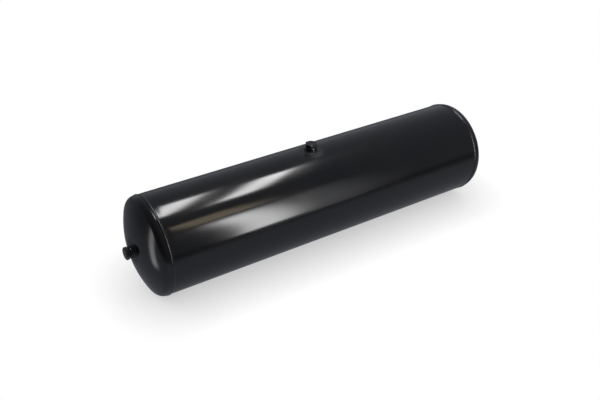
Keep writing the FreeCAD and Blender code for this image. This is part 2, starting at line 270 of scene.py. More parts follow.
class RippleTree:
    """The geometry nodes that raise a welder's ripples on a smooth bead.

    The bead brings how far along it each point is and where it lies across the cap, as attributes.
    """

    NAME = "weld_ripples"

    def __init__(self) -> None:
        """Builds the tree."""
        self.tree = bpy.data.node_groups.new(self.NAME, "GeometryNodeTree")
        self.sockets: dict[str, str] = {}
        self._build()

    def _socket(self, name: str, kind: str, value: float | int | None = None) -> None:
        """Adds a named input to the tree.

        Args:
            name: The input's name.
            kind: Its socket type.
            value: Its default, or None to leave it.
        """
        socket = self.tree.interface.new_socket(name=name, in_out="INPUT", socket_type=kind)
        if value is not None:
            socket.default_value = value
        self.sockets[name] = socket.identifier

    def _node(self, kind: str, **settings: object) -> bpy.types.Node:
        """Adds a node.

        Args:
            kind: The node's type.
            settings: The settings it gets, by name.

        Returns:
            The node.
        """
        node = self.tree.nodes.new(kind)
        for key, value in settings.items():
            setattr(node, key, value)
        return node

    def _math(self, operation: str, *inputs: Given) -> bpy.types.NodeSocket:
        """Adds a Math node, and returns its result.

        Args:
            operation: The node's operation.
            inputs: Its inputs in order, each a socket to link or a number to set.

        Returns:
            The node's output.
        """
        node = self._node("ShaderNodeMath", operation=operation)
        for target, value in zip(node.inputs, inputs):
            feed(self.tree.links, value, target)
        return node.outputs[0]

    def _attribute(self, name: str) -> bpy.types.NodeSocket:
        """Reads a float attribute of the bead.

        Args:
            name: The attribute's name.

        Returns:
            Its value.
        """
        node = self._node("GeometryNodeInputNamedAttribute", data_type="FLOAT")
        node.inputs["Name"].default_value = name
        return node.outputs["Attribute"]

    def _noise(self, scale: float, seed: bpy.types.NodeSocket) -> bpy.types.NodeSocket:
        """Smooth noise over the bead.

        Args:
            scale: Waves to the metre.
            seed: What makes one bead's noise differ from another's.

        Returns:
            The noise, from about -0.5 to 0.5.
        """
        noise = self._node("ShaderNodeTexNoise", noise_dimensions="4D")
        noise.inputs["Scale"].default_value = scale
        noise.inputs["Detail"].default_value = 1.0
        self.tree.links.new(seed, noise.inputs["W"])
        return self._math("SUBTRACT", noise.outputs["Fac"], 0.5)

    def _build(self) -> None:
        """Lays the tree's nodes."""
        links, group = self.tree.links, self.tree.interface
        self._socket("Bead", "NodeSocketGeometry")
        self._socket("Pitch", "NodeSocketFloat", 2.2 * MM)
        self._socket("Depth", "NodeSocketFloat", 0.12 * MM)
        self._socket("Curl", "NodeSocketFloat", 0.6)
        self._socket("Unevenness", "NodeSocketFloat", 0.15 * MM)
        self._socket("Seed", "NodeSocketFloat", 0.0)
        self._socket("Finish", "NodeSocketMaterial")
        group.new_socket(name="Bead", in_out="OUTPUT", socket_type="NodeSocketGeometry")
        given, result = self._node("NodeGroupInput"), self._node("NodeGroupOutput")
        asked = given.outputs

        across = self._attribute(ACROSS)
        bow = self._math("MULTIPLY", self._math("MULTIPLY", across, across), asked["Curl"])
        wander = self._math("MULTIPLY", self._noise(160.0, asked["Seed"]), 1.6)
        count = self._math("DIVIDE", self._attribute(RUN), asked["Pitch"])
        phase = self._math("ADD", self._math("ADD", count, bow), wander)
        wave = self._math("SINE", self._math("MULTIPLY", phase, math.tau))
        half_depth = self._math("MULTIPLY", asked["Depth"], 0.5)
        ripple = self._math("MULTIPLY", self._math("SUBTRACT", wave, 1.0), half_depth)
        sag = self._math("SUBTRACT", self._noise(70.0, asked["Seed"]), 0.4)
        uneven = self._math("MULTIPLY", sag, asked["Unevenness"])
        dome = self._math("SUBTRACT", 1.0, self._math("MULTIPLY", across, across))
        crown = self._math("MAXIMUM", dome, 0.0)
        lift = self._math("MULTIPLY", self._math("ADD", ripple, uneven), crown)

        push = self._node("ShaderNodeVectorMath", operation="SCALE")
        links.new(self._node("GeometryNodeInputNormal").outputs[0], push.inputs[0])
        links.new(lift, push.inputs["Scale"])
        move = self._node("GeometryNodeSetPosition")
        links.new(asked["Bead"], move.inputs["Geometry"])
        links.new(push.outputs[0], move.inputs["Offset"])
        whole = self._node("GeometryNodeRealizeInstances")
        links.new(move.outputs[0], whole.inputs[0])
        painted = self._node("GeometryNodeSetMaterial")
        links.new(whole.outputs[0], painted.inputs["Geometry"])
        links.new(asked["Finish"], painted.inputs["Material"])
        links.new(painted.outputs[0], result.inputs[0])

    def apply(self, piece: bpy.types.Object, material: bpy.types.Material, **values: float) -> None:
        """Ripples a bead and turns the result into plain mesh.

        Args:
            piece: The smooth bead, with its two attributes.
            material: The finish it gets.
            values: The tree's other inputs, by their names in lower case.
        """
        ripples = piece.modifiers.new(self.NAME, "NODES")
        ripples.node_group = self.tree
        ripples[self.sockets["Finish"]] = material
        for name, value in values.items():
            ripples[self.sockets[name.capitalize()]] = value
        bake(piece)
        for label in (RUN, ACROSS):
            piece.data.attributes.remove(piece.data.attributes[label])


# ---------------------------------------------------------------- finishes


class ShaderGroup:
    """A shader node group that is built once and placed in each material that uses it."""

    def __init__(self, name: str, inputs: dict[str, float], outputs: Sequence[str]) -> None:
        """Starts the group with its sockets.

        Args:
            name: The group's name.
            inputs: The name and default of each number that it takes.
            outputs: The name of each value that it puts out.
        """
        self.tree = bpy.data.node_groups.new(name, "ShaderNodeTree")
        for label, value in inputs.items():
            asked = self.tree.interface.new_socket(name=label, in_out="INPUT", socket_type="NodeSocketFloat")
            asked.default_value = value
        for label in outputs:
            self.tree.interface.new_socket(name=label, in_out="OUTPUT", socket_type="NodeSocketFloat")
        self.given = self.tree.nodes.new("NodeGroupInput").outputs
        self.result = self.tree.nodes.new("NodeGroupOutput").inputs
        self.around = self.tree.nodes.new("ShaderNodeTexCoord").outputs
        self.place = self.around["Object"]

    def upward(self) -> bpy.types.NodeSocket:
        """How far the surface faces up.

        Returns:
            The upward part of its normal, from -1 to 1.
        """
        split = self.tree.nodes.new("ShaderNodeSeparateXYZ")
        self.link(self.around["Normal"], split.inputs[0])
        return split.outputs["Z"]

    def spread(self, value: bpy.types.NodeSocket, edges: tuple[Given, Given]) -> bpy.types.NodeSocket:
        """Spreads a value smoothly from 0 to 1.

        Args:
            value: The value.
            edges: What becomes 0 and what becomes 1.

        Returns:
            The spread value.
        """
        ramp = self.tree.nodes.new("ShaderNodeMapRange")
        ramp.interpolation_type = "SMOOTHSTEP"
        self.link(value, ramp.inputs["Value"])
        for label, edge in zip(("From Min", "From Max"), edges):
            feed(self.tree.links, edge, ramp.inputs[label])
        return ramp.outputs["Result"]

    def link(self, source: bpy.types.NodeSocket, target: bpy.types.NodeSocket) -> None:
        """Links two sockets inside the group."""
        self.tree.links.new(source, target)

    def noise(self, scale: Given, detail: float = 2.0) -> bpy.types.NodeSocket:
        """Smooth noise over the piece, from 0 to 1.

        Args:
            scale: Waves to the metre, a number or a socket.
            detail: How many finer layers are added.

        Returns:
            The noise's value.
        """
        node = self.tree.nodes.new("ShaderNodeTexNoise")
        node.inputs["Detail"].default_value = detail
        self.link(self.place, node.inputs["Vector"])
        feed(self.tree.links, scale, node.inputs["Scale"])
        return node.outputs["Fac"]

    def math(self, operation: str, *inputs: Given) -> bpy.types.NodeSocket:
        """Adds a Math node, and returns its result.

        Args:
            operation: The node's operation.
            inputs: Its inputs in order, each a socket to link or a number to set.

        Returns:
            The node's output.
        """
        node = self.tree.nodes.new("ShaderNodeMath")
        node.operation = operation
        for target, value in zip(node.inputs, inputs):
            feed(self.tree.links, value, target)
        return node.outputs[0]


def sprayed_film() -> ShaderGroup:
    """How a sprayed coat varies: its orange peel, slow flow, and where it is duller or another tone.

    Returns:
        The group. Height is in units of its own, for a Bump node. Dullness and Tone run from 0 to 1.
    """
    group = ShaderGroup("sprayed_film", {"Peel": 1.0, "Peel Scale": 260.0, "Flow": 1.0, "Flow Scale": 14.0},
                        ("Height", "Dullness", "Tone"))
    peel = group.math("MULTIPLY", group.noise(group.given["Peel Scale"], 1.0), group.given["Peel"])
    flow = group.math("MULTIPLY", group.noise(group.given["Flow Scale"], 1.0), group.given["Flow"])
    group.link(group.math("ADD", peel, flow), group.result["Height"])
    group.link(group.noise(9.0, 3.0), group.result["Dullness"])
    group.link(group.spread(group.noise(5.0, 2.0), (0.35, 0.65)), group.result["Tone"])
    return group


def settled_dust() -> ShaderGroup:
    """Where a little dust lies: specks and faint drifts on the faces that look up.

    Returns:
        The group. Cover runs from 0 to its Amount.
    """
    group = ShaderGroup("settled_dust", {"Amount": 1.0, "Speck Scale": 900.0}, ("Cover",))
    specks = group.spread(group.noise(group.given["Speck Scale"], 0.0), (0.66, 0.78))
    drifts = group.spread(group.noise(18.0, 4.0), (0.4, 0.75))
    lying = group.math("MAXIMUM", specks, group.math("MULTIPLY", drifts, 0.35))
    upward = group.spread(group.upward(), (0.1, 0.95))
    cover = group.math("MULTIPLY", group.math("MULTIPLY", lying, upward), group.given["Amount"])
    group.link(cover, group.result["Cover"])
    return group


def rubbed_edges() -> ShaderGroup:
    """Where handling and spanners have rubbed the outer edges of a piece.

    Returns:
        The group. Rub runs from 0 to 1.
    """
    group = ShaderGroup("rubbed_edges", {"Start": 0.53, "Full": 0.6}, ("Rub",))
    pointed = group.tree.nodes.new("ShaderNodeNewGeometry").outputs["Pointiness"]
    edge = group.spread(pointed, (group.given["Start"], group.given["Full"]))
    broken = group.spread(group.noise(420.0, 3.0), (0.42, 0.6))
    group.link(group.math("MULTIPLY", edge, broken), group.result["Rub"])
    return group


@dataclass(frozen=True)
class Paint:
    """A black finish, sprayed or blackened.

    Args:
        name: The material's name.
        slot: The record's material slot; not used.
        colour: The pigment's colour.
        warmer: Its colour where the coat is of the other tone.
        duller: The lowest and highest roughness over the piece.
        peel: How deep the fine orange peel is, beside the slow flow.
        depth: The Bump node's distance, in metres.
        dust: How much dust lies on it.
        rubbed: The colour of its rubbed edges.
        dry: The roughness where the coat went on dry.
    """

    name: str
    slot: str
    colour: Colour
    warmer: Colour
    duller: tuple[float, float]
    peel: float
    depth: float
    dust: float
    rubbed: Colour
    dry: float = 0.42

    def material(self, groups: "Groups") -> bpy.types.Material:
        """The finish as a Blender material.

        Args:
            groups: The effects that every finish shares.

        Returns:
            The material.
        """
        made = bpy.data.materials.new(self.name)
        made.use_nodes = True
        nodes, links = made.node_tree.nodes, made.node_tree.links
        shader = nodes["Principled BSDF"]
        coat, dust, edges = (self._place(nodes, group) for group in (groups.film, groups.dust, groups.edges))
        coat.inputs["Peel"].default_value = self.peel
        dust.inputs["Amount"].default_value = self.dust
        toned = self._mix(nodes, links, coat.outputs["Tone"], self.colour, self.warmer)
        rubbed = self._mix(nodes, links, edges.outputs["Rub"], toned, self.rubbed)
        dusty = self._mix(nodes, links, dust.outputs["Cover"], rubbed, DUST)
        links.new(dusty, shader.inputs["Base Color"])
        roughness = nodes.new("ShaderNodeMapRange")
        roughness.inputs["From Min"].default_value = 0.35
        roughness.inputs["From Max"].default_value = 0.65
        roughness.inputs["To Min"].default_value, roughness.inputs["To Max"].default_value = self.duller
        links.new(coat.outputs["Dullness"], roughness.inputs["Value"])
        spray = nodes.new("ShaderNodeAttribute")
        spray.attribute_name = DRY
        matt = nodes.new("ShaderNodeMix")
        links.new(spray.outputs["Fac"], matt.inputs["Factor"])
        links.new(roughness.outputs["Result"], matt.inputs["A"])
        matt.inputs["B"].default_value = self.dry
        links.new(matt.outputs["Result"], shader.inputs["Roughness"])
        bump = nodes.new("ShaderNodeBump")
        bump.inputs["Strength"].default_value = 1.0
        bump.inputs["Distance"].default_value = self.depth
        links.new(coat.outputs["Height"], bump.inputs["Height"])
        links.new(bump.outputs["Normal"], shader.inputs["Normal"])
        shader.inputs["IOR"].default_value = 1.5
        return made

    @staticmethod
    def _place(nodes: bpy.types.Nodes, group: ShaderGroup) -> bpy.types.Node:
        """Places a shared group in a material.

        Args:
            nodes: The material's nodes.
            group: The group.

        Returns:
            The group's node.
        """
        node = nodes.new("ShaderNodeGroup")
        node.node_tree = group.tree
        return node

    @staticmethod
    def _mix(nodes: bpy.types.Nodes, links: bpy.types.NodeLinks, share: bpy.types.NodeSocket,
             first: bpy.types.NodeSocket | Colour, second: Colour) -> bpy.types.NodeSocket:
        """Mixes two colours.

        Args:
            nodes: The material's nodes.
            links: The material's links.
            share: How much there is of the second colour.
            first: The first colour, or the socket that gives it.
            second: The second colour.

        Returns:
            The mixed colour.
        """
        mix = nodes.new("ShaderNodeMix")
        mix.data_type = "RGBA"
        links.new(share, mix.inputs["Factor"])
        low, high = (socket for socket in mix.inputs if socket.type == "RGBA")
        if isinstance(first, bpy.types.NodeSocket):
            links.new(first, low)
        else:
            low.default_value = (*first, 1.0)
        high.default_value = (*second, 1.0)
        return next(socket for socket in mix.outputs if socket.type == "RGBA")


DRY_REACH = (22 * MM, 42 * MM)
DUST = (0.20, 0.19, 0.17)
BLUE_BLACK, WARM_BLACK = (0.0011, 0.0012, 0.0019), (0.0017, 0.0016, 0.0015)
STEEL_BLACK, STEEL_BROWN = (0.0040, 0.0040, 0.0044), (0.0070, 0.0066, 0.0060)
RUBBER_BLACK, RUBBER_GREY = (0.008, 0.008, 0.008), (0.013, 0.013, 0.013)
PAINT_WORN, STEEL_WORN = (0.004, 0.004, 0.004), (0.014, 0.014, 0.013)

GLOSS = Paint("gloss_black_paint", "black_paint", BLUE_BLACK, WARM_BLACK, (0.11, 0.15), 0.15, 0.00002, 0.012,
              PAINT_WORN)
WELD = Paint("painted_weld_bead", "painted_weld", BLUE_BLACK, WARM_BLACK, (0.20, 0.27), 0.6, 0.00004, 0.02,
             PAINT_WORN)
BOSS = Paint("painted_boss", "painted_boss", BLUE_BLACK, WARM_BLACK, (0.08, 0.13), 0.2, 0.00002, 0.02,
             PAINT_WORN)
PLUG = Paint("blackened_plug", "plug", STEEL_BLACK, STEEL_BROWN, (0.25, 0.36), 0.6, 0.00002, 0.02, STEEL_WORN)
SEAL = Paint("black_seal", "seal", RUBBER_BLACK, RUBBER_GREY, (0.45, 0.6), 0.6, 0.00002, 0.02, RUBBER_GREY)


class Groups:
    """The effects that the finishes share, each built once."""

    def __init__(self) -> None:
        """Builds the groups."""
        self.film = sprayed_film()
        self.dust = settled_dust()
        self.edges = rubbed_edges()


class Finishes:
    """Every finish of the tank as a material, each made once."""

    def __init__(self) -> None:
        """Makes the materials."""
        groups = Groups()
        self._made = {paint: paint.material(groups) for paint in (GLOSS, WELD, BOSS, PLUG, SEAL)}

    def of(self, paint: Paint) -> bpy.types.Material:
        """The material of a finish."""
        return self._made[paint]


def settle(piece: bpy.types.Object, finishes: Finishes, paint: Paint, node: str) -> None:
    """Dresses a finished piece and seats it in the frame in place of a CAD node.

    Args:
        piece: The finished piece.
        finishes: The materials.
        paint: The piece's finish.
        node: The node that it stands for.
    """
    piece.data.materials.clear()
    piece.data.materials.append(finishes.of(paint))
    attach(piece, "root")
    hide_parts(node)
    LOG.info("%s: %d faces", piece.name, len(piece.data.polygons))


# ---------------------------------------------------------------- the tank


@dataclass(frozen=True)
class Span:
    """The lowest and highest corner of a CAD node.

    Args:
        low: The lowest corner.
        high: The highest corner.
    """

    low: Vector
    high: Vector

    @classmethod
    def of(cls, node: str) -> "Span":
        """The span of the node of that name."""
        low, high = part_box(node)
        return cls(Vector(low), Vector(high))

    @property
    def centre(self) -> Vector:
        """The middle of the span."""
        return (self.low + self.high) / 2

    @property
    def size(self) -> Vector:
        """How far the span reaches along each axis."""
        return self.high - self.low


@dataclass
class Shell:
    """The rolled tube and its lengthwise weld.

    Args:
        wall: The sheet's thickness, in metres as every length here.
        segments: How many faces go round the tube.
        draw_in: How far a girth weld's heat has drawn the tube's edge in.
        drawn_length: How far along the tube that reaches.
        waviness: How far the rolled sheet strays from a true round.
        seam_turn: The lengthwise weld's place, in degrees from the top towards the back.
        seam_rise: How far that weld's cap stands out.
        seam_width: How wide the cap is.
        seam_root: How deep the weld's root lies.
        boss_clearance: The gap between the hole and the boss.
        end_pitch: How far apart the tube's rings stand at its ends.
        boss_pitch: How far apart they stand round the boss.
        pitch: How far apart they stand elsewhere.
        span: The span of the shell's node.
    """

    wall: float = 2.5 * MM
    segments: int = 288
    draw_in: float = 0.35 * MM
    drawn_length: float = 9 * MM
    waviness: float = 0.05 * MM
    seam_turn: float = 120.0
    seam_rise: float = 0.6 * MM
    seam_width: float = 5 * MM
    seam_root: float = 1.2 * MM
    boss_clearance: float = 0.2 * MM
    end_pitch: float = 1.5 * MM
    boss_pitch: float = 1.8 * MM
    pitch: float = 6 * MM
    span: Span = field(default_factory=lambda: Span.of("shell"))

    @property
    def radius(self) -> float:
        """The tube's outer radius."""
        return self.span.size.y / 2

    @property
    def half(self) -> float:
        """Half the tube's length."""
        return self.span.size.x / 2

    @property
    def axis(self) -> Axis:
        """The tube's axis, from the tank's middle."""
        return Axis(Vector((0, 0, self.span.centre.z)), Vector((1, 0, 0)), Vector((0, 0, 1)))

    def stations(self, port: Span) -> np.ndarray:
        """Where the tube's rings stand along it: close together at its ends and round the boss.

        Args:
            port: The boss's span.

        Returns:
            Positions along X, in order.
        """
        reach = port.size.x * 0.75
        x, end = port.centre.x, self.half - 2 * self.drawn_length
        parts = [steps(-self.half, -end, self.end_pitch), steps(-end, x - reach, self.pitch),
                 steps(x - reach, x + reach, self.boss_pitch), steps(x + reach, end, self.pitch),
                 steps(end, self.half, self.end_pitch)]
        return np.unique(np.concatenate(parts))

    def build(self, finishes: Finishes) -> None:
        """Makes the tube with its hole for the boss.

        Args:
            finishes: The materials.
        """
        port = Span.of("top_port_boss")
        x = self.stations(port)
        outer = [(float(at), self.radius) for at in x]
        bore = self.radius - self.wall
        inner = [(float(at), bore) for at in x[::-4]]
        rings = self.axis.turned(outer + inner, self.segments)
        self._shape(rings[:, :len(outer)], x)
        tube = loft("rolled_shell", rings)
        self._bore(tube, port)
        up = Vector((0, 0, 1))
        mark_dry_spray(tube, Axis(port.centre - up * self.radius, up, Vector((1, 0, 0))), *DRY_REACH)
        settle(tube, finishes, GLOSS, "shell")

    def _shape(self, rings: np.ndarray, x: np.ndarray) -> None:
        """Draws the tube's edges in and adds the rolled sheet's slight waviness, in place.

        Args:
            rings: The outer face's points.
            x: Where its rings stand.
        """
        turns = round_turns(self.segments)[:, None]
        wave = (np.sin(2 * turns + 7 * x + 0.6) + 0.7 * np.sin(3 * turns - 11 * x + 2.1)
                + 0.5 * np.sin(5 * turns + 23 * x)) * self.waviness
        drawn = self.draw_in * np.exp(-((self.half - np.abs(x)) / self.drawn_length) ** 2)
        centre = np.array(self.axis.foot)
        out = rings - centre
        out[..., 0] = 0
        rings += out / self.radius * (np.minimum(wave, 0) - drawn)[..., None]

    def _bore(self, tube: bpy.types.Object, port: Span) -> None:
        """Cuts the hole for the boss. The drill's corners are kept off the tube's own lines.

        Args:
            tube: The tube, whose mesh is replaced.
            port: The boss's span.
        """
        radius = port.size.x / 2 + self.boss_clearance
        up = Axis(Vector((port.centre.x, 0, self.span.centre.z)), Vector((0, 0, 1)), Vector((0.8, 0.6, 0)))
        low, high = self.radius * 0.7, self.radius * 1.2
        drill = loft("drill", up.turned([(low, 0), (low, radius), (high, radius), (high, 0)], ROUND_SIDES))
        cut = tube.modifiers.new("bore", "BOOLEAN")
        cut.operation, cut.solver, cut.object = "DIFFERENCE", "EXACT", drill
        bake(tube)
        bpy.data.objects.remove(drill)

    def weld(self, finishes: Finishes, ripples: RippleTree) -> None:
        """Makes the lengthwise weld's cap, which stops at the girth welds.

        Args:
            finishes: The materials.
            ripples: The tree that ripples its welds.
        """
        reach = Span.of("left_girth_weld").high.x
        x = steps(reach, -reach, 0.6 * MM)
        half = self.seam_width / 2
        bow = np.linspace(-1, 1, 13)
        cap = [(b * half, (1 - b * b) * self.seam_rise) for b in bow]
        root = [(half * 0.5, -self.seam_root), (-half * 0.5, -self.seam_root)]
        turn = math.radians(self.seam_turn)
        out = np.array((0, math.sin(turn), math.cos(turn)))
        side = np.array((0, math.cos(turn), -math.sin(turn)))
        section = np.array([w * side + (self.radius - w * w / 2 / self.radius + rise) * out
                            for w, rise in cap + root])
        rings = section[None] + np.array(self.axis.foot) + x[:, None, None] * np.array((1, 0, 0))
        bead = loft("lengthwise_bead", rings, cyclic=False, run=x - x[0], across=np.append(bow, (2, 2)))
        ripples.apply(bead, finishes.of(WELD), pitch=1.8 * MM, depth=0.1 * MM, curl=0.7, unevenness=0.12 * MM,
                      seed=3.0)
        settle(bead, finishes, WELD, "lengthwise_weld")


@dataclass
class Head:
    """A dished head and the girth weld that joins it to the shell.

    Args:
        end: Which end it closes.
        shell: The shell that it closes.
        crown: The radius of the dish.
        knuckle: The radius between the dish and the skirt.
        wall: The plate's thickness.
        skirt_beyond_weld: How far the straight skirt runs on past the weld.
        step_run: How far along the step takes to rise from the tongue to the skirt.
        tongue_clearance: The gap between the tongue and the shell.
        boss_clearance: The gap between the hole and the boss.
        bead_sink: How far inside the skirt's face the weld's toes end.
        ripple_pitch: About how far apart the weld's ripples are, so that a whole number goes round.
        segments: How many faces go round.
        bead_turns: How many sections of the weld go round.
    """

    end: End
    shell: Shell
    crown: float = 256 * MM
    knuckle: float = 18 * MM
    wall: float = 2.5 * MM
    skirt_beyond_weld: float = 0.3 * MM
    step_run: float = 3.4 * MM
    tongue_clearance: float = 0.2 * MM
    boss_clearance: float = 0.2 * MM
    bead_sink: float = 0.15 * MM
    ripple_pitch: float = 2.1 * MM
    segments: int = 288
    bead_turns: int = 2304

    @property
    def axis(self) -> Axis:
        """The tank's axis, pointing out of this end."""
        return Axis(self.shell.axis.foot, Vector((self.end.value, 0, 0)), Vector((0, 0, 1)))

    def reach(self, node: str) -> tuple[float, float]:
        """How far a node reaches along this end's axis, nearest and farthest."""
        span = Span.of(f"{self.end.word}_{node}")
        return tuple(sorted((span.low.x * self.end.value, span.high.x * self.end.value)))

    def dish(self, skirt: float, inset: float, count: int) -> list[Corner]:
        """The dish's outline from the skirt to the hole for its boss.

        Args:
            skirt: Where the knuckle starts along the axis.
            inset: How far inside the outer face it lies: 0, or the wall.
            count: How many points the dish has.

        Returns:
            The points, in order.
        """
        knuckle_out = self.shell.radius - self.knuckle
        rise = math.sqrt((self.crown - self.knuckle) ** 2 - knuckle_out ** 2)
        centre = skirt - rise
        lean = math.degrees(math.atan2(knuckle_out, rise))
        hole = Span.of(f"{self.end.word}_port_boss").size.y / 2 + self.boss_clearance
        edge = math.degrees(math.asin(hole / (self.crown - inset)))
        return (arc((skirt, knuckle_out), self.knuckle - inset, 90, lean, 24)
                + arc((centre, 0), self.crown - inset, lean, edge, count)[1:])

    def build(self, finishes: Finishes) -> None:
        """Makes the head: its dish, short skirt, step and tongue.

        Args:
            finishes: The materials.
        """
        tongue, _ = self.reach("head")
        near, far = self.reach("girth_weld")
        skirt = far + self.skirt_beyond_weld
        outer = self.shell.radius
        step_end = far - (self.shell.half - near)
        tongue_out = outer - self.shell.wall - self.tongue_clearance
        outline = [(tongue, tongue_out), (step_end - self.step_run, tongue_out), (step_end, outer)]
        outline += self.dish(skirt, 0.0, 64)
        outline += self.dish(skirt, self.wall, 24)[::-1]
        outline += [(step_end + self.wall / 3, outer - self.wall),
                    (step_end - self.step_run + self.wall / 3, tongue_out - self.wall),
                    (tongue, tongue_out - self.wall)]
        head = loft(f"{self.end.word}_dished_head", self.axis.turned(outline, self.segments))
        mark_dry_spray(head, self.axis, *DRY_REACH)
        settle(head, finishes, GLOSS, f"{self.end.word}_head")

    def weld(self, finishes: Finishes, ripples: RippleTree) -> None:
        """Makes the girth weld: a rippled cap over the joint, with its root in the groove.

        Args:
            finishes: The materials.
            ripples: The tree that ripples its welds.
        """
        near, far = self.reach("girth_weld")
        rise = Span.of(f"{self.end.word}_girth_weld").size.y / 2 - self.shell.radius
        middle, half = (near + far) / 2, (far - near) / 2
        bow = np.linspace(-1, 1, 17)
        foot = self.shell.radius - self.bead_sink
        cap = [(middle + b * half, foot + (rise + self.bead_sink) * (1 - b * b)) for b in bow]
        bore = self.shell.radius - self.shell.wall
        root = [(middle + half * 0.3, bore), (self.shell.half, bore)]
        rings = self.axis.turned(cap + root, self.bead_turns)
        run = np.linspace(0, math.tau * self.shell.radius, self.bead_turns, endpoint=False)
        bead = loft(f"{self.end.word}_girth_bead", rings, run=run, across=np.append(bow, (2, 2)))
        whole = round(run[-1] / self.ripple_pitch)
        ripples.apply(bead, finishes.of(WELD), pitch=math.tau * self.shell.radius / whole, depth=0.14 * MM,
                      curl=0.7, unevenness=0.3 * MM, seed=5.0 + self.end.value)
        settle(bead, finishes, WELD, f"{self.end.word}_girth_weld")


@dataclass
class Port:
    """A plugged port: the boss, the weld round it, the seal and the plug.

    Args:
        name: The port's name, as its nodes begin with it.
        out: Which way it faces.
        side: A direction square to that, which its hexagon's turn is counted from.
        bend_along: How sharply the steel curves along side, as one over its radius.
        bend_across: How sharply it curves square to side.
        toe: How far the fillet weld reaches from the boss.
        hexagon_turn: How far the plug's corners are turned from side, in degrees.
        leg: The fillet weld's leg up the boss.
        boss_height: How far the boss stands out of the steel.
        chamfer_drop: How far down the boss its turned-off corner reaches.
        chamfer_reach: How far in across its face the corner reaches.
        thread: The radius of the boss's bore.
        mouth_chamfer: The countersink of its mouth.
        clearance: What the hexagon's flats stand out past the seal, and its top face lies inside the flats.
        shank_clearance: How much thinner than the bore the shank is.
        shank_point: The chamfer of the shank's tip.
        washer: The thickness of the plug's washer face.
        washer_inset: How far the washer face stops short of the flats.
        hexagon_drop: How far down its corners the hexagon's turned top reaches.
        bead_root: How deep the weld's root lies under the steel's face.
        bead_bite: How far the root reaches into the boss.
        ripple_pitch: About how far apart the weld's ripples are, so that a whole number goes round.
        boss_rounding: The width that the boss's edges are rounded by.
        seal_rounding: The width that the seal's edges are rounded by.
        plug_rounding: The width that the plug's edges are rounded by.
        bead_turns: How many sections of the weld go round.
        plug_segments: How many faces go round the plug.
    """

    name: str
    out: Vector
    side: Vector
    bend_along: float
    bend_across: float
    toe: float
    hexagon_turn: float
    leg: float = 3.5 * MM
    boss_height: float = 8 * MM
    chamfer_drop: float = 0.8 * MM
    chamfer_reach: float = 1.6 * MM
    thread: float = 10.2 * MM
    mouth_chamfer: float = 1 * MM
    clearance: float = 0.2 * MM
    shank_clearance: float = 0.05 * MM
    shank_point: float = 1 * MM
    washer: float = 1 * MM
    washer_inset: float = 0.2 * MM
    hexagon_drop: float = 1.2 * MM
    bead_root: float = 0.6 * MM
    bead_bite: float = 0.1 * MM
    ripple_pitch: float = 2.2 * MM
    boss_rounding: float = 0.25 * MM
    seal_rounding: float = 0.15 * MM
    plug_rounding: float = 0.08 * MM
    bead_turns: int = 480
    plug_segments: int = 72

    def span(self, piece: str) -> Span:
        """The span of one of the port's nodes."""
        return Span.of(f"{self.name}_port_{piece}")

    def reach(self, piece: str) -> tuple[float, float]:
        """The lowest and highest point of a node along the port's axis, from the tank's middle."""
        span = self.span(piece)
        return tuple(sorted((span.low.dot(self.out), span.high.dot(self.out))))

    @property
    def axis(self) -> Axis:
        """The port's axis, whose foot is level with the origin along it."""
        centre = self.span("boss").centre
        return Axis(centre - self.out * centre.dot(self.out), self.out, self.side)

    @property
    def radius(self) -> float:
        """The boss's outer radius."""
        return max(self.span("boss").size) / 2

    def boss(self, finishes: Finishes) -> None:
        """Makes the boss: a bored ring with its outer corner turned off and its mouth countersunk.

        Args:
            finishes: The materials.
        """
        low, high = self.reach("boss")
        ring = [(low, self.thread), (low, self.radius), (high - self.chamfer_drop, self.radius),
                (high, self.radius - self.chamfer_reach), (high, self.thread + self.mouth_chamfer),
                (high - self.mouth_chamfer, self.thread)]
        boss = loft(f"{self.name}_boss_ring", self.axis.turned(ring, ROUND_SIDES))
        bevel(boss, self.boss_rounding)
        settle(boss, finishes, BOSS, f"{self.name}_port_boss")

    def weld(self, finishes: Finishes, ripples: RippleTree) -> None:
        """Makes the fillet weld, whose toe follows the curved steel.

        Args:
            finishes: The materials.
            ripples: The tree that ripples its welds.
        """
        surface = self.reach("boss")[1] - self.boss_height
        turns = round_turns(self.bead_turns)
        bow = np.linspace(-1, 1, 15)
        share = (bow + 1) / 2
        reach = self.radius + self.toe * share
        height = self.leg * (1 - share)
        out = np.append(reach, (self.radius + self.toe * 0.5, self.radius - self.bead_bite))
        lift = np.append(height, (-self.bead_root, -self.bead_root))
        along, across = out[None] * np.cos(turns)[:, None], out[None] * np.sin(turns)[:, None]
        fall = (along ** 2 * self.bend_along + across ** 2 * self.bend_across) / 2
        side, other = np.array(self.side), np.cross(np.array(self.out), np.array(self.side))
        rings = (np.array(self.axis.foot) + along[..., None] * side + across[..., None] * other
                 + (surface + lift[None] - fall)[..., None] * np.array(self.out))
        bead = loft(f"{self.name}_boss_fillet", rings, run=turns * self.radius, across=np.append(bow, (2, 2)))
        whole = round(math.tau * self.radius / self.ripple_pitch)
        ripples.apply(bead, finishes.of(WELD), pitch=math.tau * self.radius / whole, depth=0.2 * MM, curl=0.5,
                      unevenness=0.25 * MM, seed=11.0)
        settle(bead, finishes, WELD, f"{self.name}_port_weld")

    def seal(self, finishes: Finishes) -> None:
        """Makes the flat sealing ring.

        Args:
            finishes: The materials.
        """
        low, high = self.reach("seal")
        outer = max(self.span("seal").size) / 2
        inner = self.thread + self.mouth_chamfer
        outline = [(low, inner), (low, outer), (high, outer), (high, inner)]
        ring = loft(f"{self.name}_seal_ring", self.axis.turned(outline, ROUND_SIDES))
        bevel(ring, self.seal_rounding)
        settle(ring, finishes, SEAL, f"{self.name}_port_seal")

